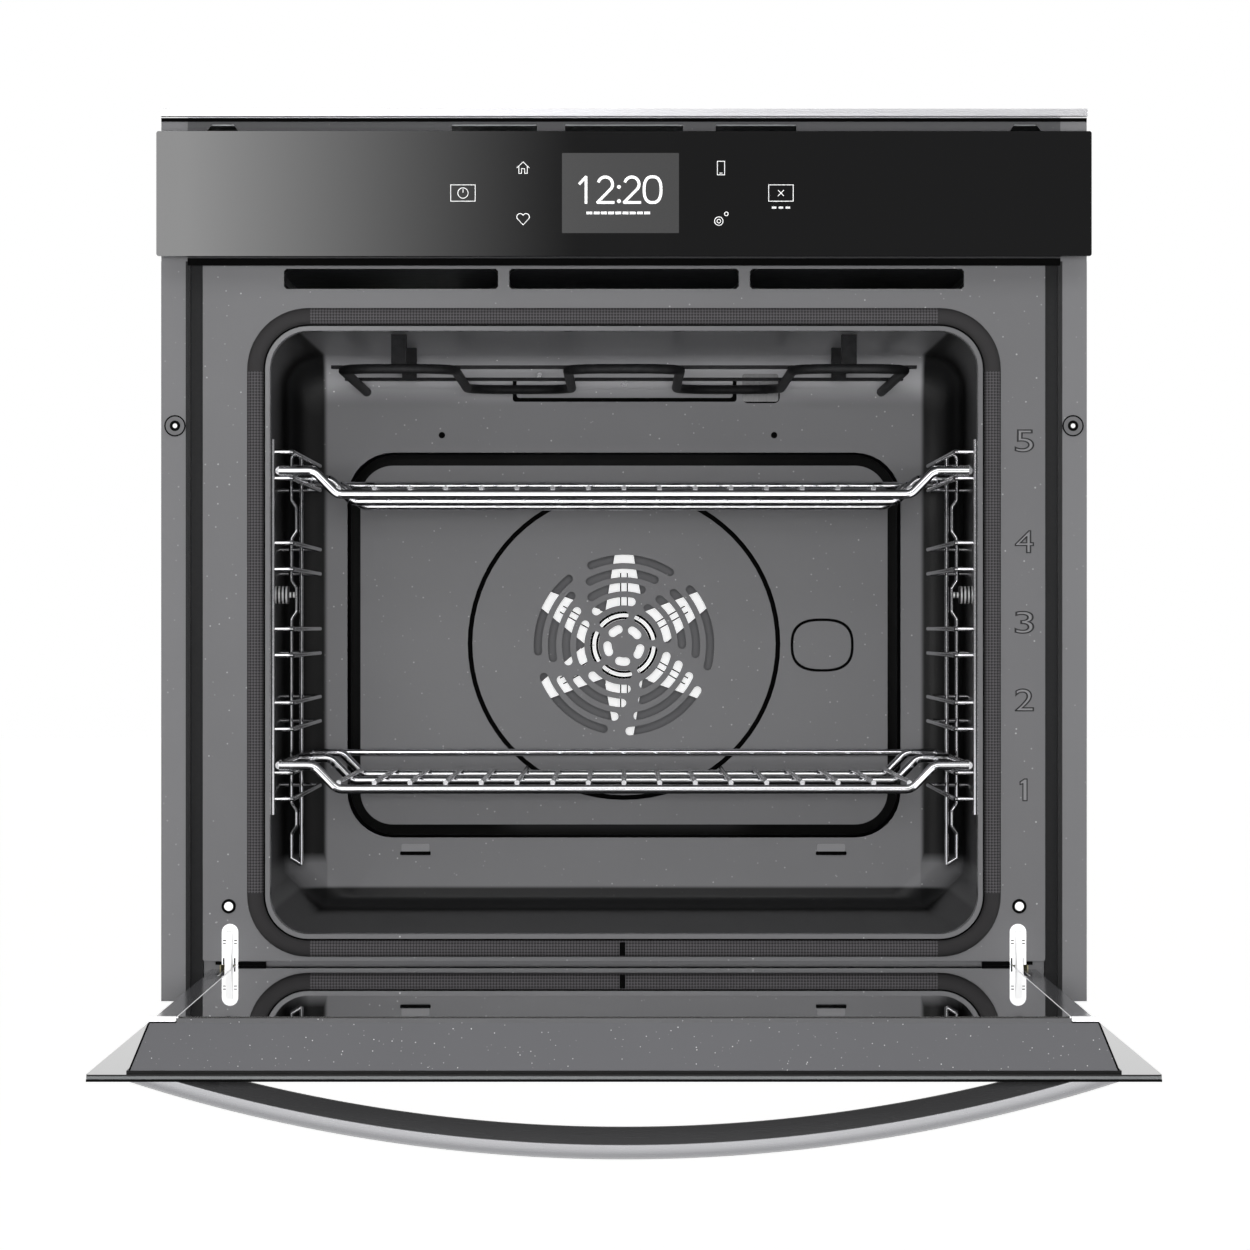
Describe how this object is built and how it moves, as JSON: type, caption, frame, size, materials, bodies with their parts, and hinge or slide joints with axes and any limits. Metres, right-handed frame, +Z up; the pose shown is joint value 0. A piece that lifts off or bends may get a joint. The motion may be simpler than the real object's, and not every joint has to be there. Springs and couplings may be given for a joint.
{
  "type": "built-in wall oven",
  "caption": "Built-in electric wall oven with a drop-down glass door, wire racks on side supports, a convection fan and a touch control panel.",
  "frame": {"origin": "middle of the cabinet's front plane (Y = 0) at the height of the oven's underside (Z = 0)", "axes": "+X to the right across the front, +Y into the cabinet, +Z up; the door opens towards -Y"},
  "size_m": [0.596, 1.03, 0.6325],
  "materials": {
    "enamel": "gloss speckled enamel",
    "flange_metal": "satin paint",
    "bright_steel": "satin",
    "zinc_steel": "galvanised",
    "chrome_wire": "polished",
    "black_glass": "gloss",
    "clear_glass": "gloss",
    "black_plastic": "moulded",
    "circuit": "solder mask",
    "gasket_braid": "braided",
    "black_rubber": "matt",
    "glass_wool": "fibrous",
    "element_steel": "oxidised",
    "aluminium": "bright"
  },
  "bodies": {
    "oven": {"front_frame": "enamel", "cavity_collar": "enamel", "door_gasket": "gasket_braid", "flange_trims": "flange_metal", "flange_grommets": "black_plastic", "side_seals": "black_rubber", "upper_crossmember": "flange_metal", "top_trim": "bright_steel", "control_glass": "black_glass", "control_housing": "black_plastic", "display_module": "black_plastic", "control_board": "circuit", "cavity_floor": "enamel", "cavity_ceiling": "enamel", "cavity_side_walls": "enamel", "cavity_back_wall": "enamel", "fan_chamber": "enamel", "fan_cover": "enamel", "ring_element": "element_steel", "bake_element": "element_steel", "broil_element": "element_steel", "element_brackets": "zinc_steel", "ladder_left": "chrome_wire", "ladder_right": "chrome_wire", "ladder_nuts": "bright_steel", "insulation": "glass_wool", "base_pan": "zinc_steel", "side_panels": "zinc_steel", "rear_panel": "zinc_steel", "top_panel": "zinc_steel", "fan_motor": "zinc_steel", "blower_housing": "zinc_steel", "blower_motor": "zinc_steel", "air_duct": "zinc_steel", "power_board": "circuit", "terminal_box": "black_plastic", "cable_gland": "black_plastic", "lamp_housing": "zinc_steel", "lamp_glass": "clear_glass", "lamp_bulb": "clear_glass", "temperature_probe": "bright_steel", "hinge_arms": "bright_steel", "hinge_receivers": "zinc_steel", "frame_screws": "bright_steel"},
    "door": {"door_outer_glass": "black_glass", "door_pan": "enamel", "door_inner_glass": "clear_glass", "door_middle_glass": "clear_glass", "glass_rails": "black_plastic", "hinge_channels": "zinc_steel", "hinge_pins": "bright_steel", "hinge_springs": "bright_steel", "handle_bar": "bright_steel", "handle_screws": "bright_steel"},
    "upper_rack": {"rack_upper": "chrome_wire"},
    "lower_rack": {"rack_lower": "chrome_wire"},
    "convection_fan": {"fan_wheel": "aluminium", "fan_shaft": "bright_steel"},
    "cooling_blower": {"blower_impeller": "aluminium", "blower_shaft": "bright_steel"}
  },
  "joints": [
    {"name": "door_hinge", "type": "hinge", "parent": "oven", "child": "door", "pos_m": [0, -0.013, 0.0352], "axis": [-1, 0, 0], "range_deg": [0, 90]},
    {"name": "upper_rack_slide", "type": "slide", "parent": "oven", "child": "upper_rack", "axis": [0, 1, 0], "range_m": [-0.25, 0]},
    {"name": "lower_rack_slide", "type": "slide", "parent": "oven", "child": "lower_rack", "axis": [0, 1, 0], "range_m": [-0.25, 0]},
    {"name": "convection_fan_spin", "type": "hinge", "parent": "oven", "child": "convection_fan", "pos_m": [0, 0.4, 0.249], "axis": [0, 1, 0], "continuous": true},
    {"name": "cooling_blower_spin", "type": "hinge", "parent": "oven", "child": "cooling_blower", "pos_m": [0, 0.38, 0.51], "axis": [1, 0, 0], "continuous": true}
  ]
}
